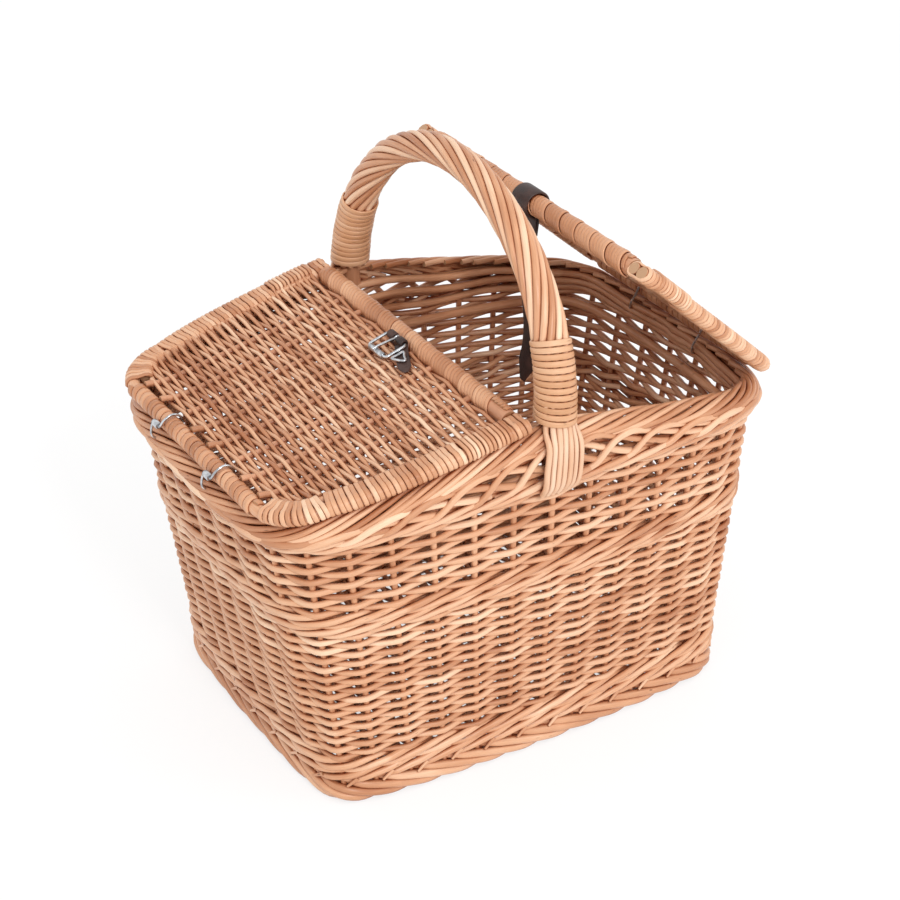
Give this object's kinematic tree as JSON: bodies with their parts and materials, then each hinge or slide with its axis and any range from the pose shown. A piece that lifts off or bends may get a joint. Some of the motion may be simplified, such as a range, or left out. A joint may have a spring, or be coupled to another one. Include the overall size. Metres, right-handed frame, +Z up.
{
  "type": "picnic basket",
  "caption": "Woven willow picnic basket with a flared body, twisted bow handle, two hinged lids, a roller buckle and a strap.",
  "frame": {"origin": "centre of the foot border on the ground", "axes": "+X to the end whose lid stands open, -Y to the long side that faces the viewer, +Z up"},
  "size_m": [0.418, 0.3114, 0.4126],
  "materials": {
    "willow_buff": "peeled willow rods, woven, boiled to a warm buff, low sheen",
    "willow_pale": "peeled willow rods, pale buff, smooth",
    "willow_dark": "thick willow sticks, reddish brown",
    "willow_skein": "split and shaved willow skein, satin",
    "strap_leather": "dark brown strap leather, cut edges",
    "wire_steel": "bright nickel plated steel wire"
  },
  "bodies": {
    "basket": {"foot_border": "willow_buff", "base_floor": "willow_dark", "inner_hoop": "willow_dark", "upset_wale": "willow_buff", "lower_siding": "willow_buff", "middle_wale": "willow_pale", "upper_siding": "willow_buff", "top_border": "willow_buff", "handle_bow": "willow_dark", "handle_rope_rod_1": "willow_pale", "handle_rope_rod_2": "willow_pale", "handle_rope_rod_3": "willow_pale", "handle_rope_rod_4": "willow_pale", "handle_rope_rod_5": "willow_pale", "handle_rope_rod_6": "willow_pale", "handle_rope_rod_7": "willow_pale", "handle_rope_rod_8": "willow_pale", "handle_binding_front": "willow_skein", "handle_binding_back": "willow_skein", "handle_tail_front": "willow_pale", "handle_tail_back": "willow_pale", "left_hinge_wire_front": "wire_steel", "left_hinge_wire_back": "wire_steel", "right_hinge_wire_front": "wire_steel", "right_hinge_wire_back": "wire_steel", "left_hinge_sleeve_front": "wire_steel", "left_hinge_sleeve_back": "wire_steel", "right_hinge_sleeve_front": "wire_steel", "right_hinge_sleeve_back": "wire_steel"},
    "left_lid": {"left_lid_bow": "willow_buff", "left_lid_side_rod_front": "willow_buff", "left_lid_side_rod_back": "willow_buff", "left_lid_centre_bar": "willow_dark", "left_lid_panel": "willow_buff", "left_lid_hinge_binding": "willow_skein", "left_lid_centre_binding": "willow_skein", "buckle_leather": "strap_leather", "buckle_keeper": "wire_steel"},
    "right_lid": {"right_lid_bow": "willow_buff", "right_lid_side_rod_front": "willow_buff", "right_lid_side_rod_back": "willow_buff", "right_lid_centre_bar": "willow_dark", "right_lid_panel": "willow_buff", "right_lid_hinge_binding": "willow_skein", "right_lid_centre_binding": "willow_skein"},
    "buckle_frame": {"buckle_frame": "wire_steel"},
    "buckle_roller": {"buckle_roller": "wire_steel"},
    "buckle_tongue": {"buckle_tongue": "wire_steel"},
    "strap": {"strap": "strap_leather"}
  },
  "joints": [
    {"name": "left_lid_hinge", "type": "hinge", "parent": "basket", "child": "left_lid", "pos_m": [-0.196, 0, 0.24015], "axis": [0, -1, 0], "range_deg": [0, 110]},
    {"name": "right_lid_hinge", "type": "hinge", "parent": "basket", "child": "right_lid", "pos_m": [0.196, 0, 0.24015], "axis": [0, 1, 0], "range_deg": [-32, 78]},
    {"name": "buckle_frame_hinge", "type": "hinge", "parent": "left_lid", "child": "buckle_frame", "pos_m": [-0.03875, 0, 0.27839], "axis": [0, 1, 0], "range_deg": [0, 110]},
    {"name": "buckle_roller_spin", "type": "hinge", "parent": "buckle_frame", "child": "buckle_roller", "pos_m": [-0.0551, 0, 0.27328], "axis": [0, 1, 0], "continuous": true},
    {"name": "buckle_tongue_hinge", "type": "hinge", "parent": "buckle_frame", "child": "buckle_tongue", "pos_m": [-0.03875, 0, 0.27839], "axis": [0, 1, 0], "range_deg": [0, 45]},
    {"name": "strap_swing", "type": "hinge", "parent": "right_lid", "child": "strap", "pos_m": [0.06925, 0, 0.35623], "axis": [0, 1, 0], "range_deg": [-35, 40]}
  ]
}
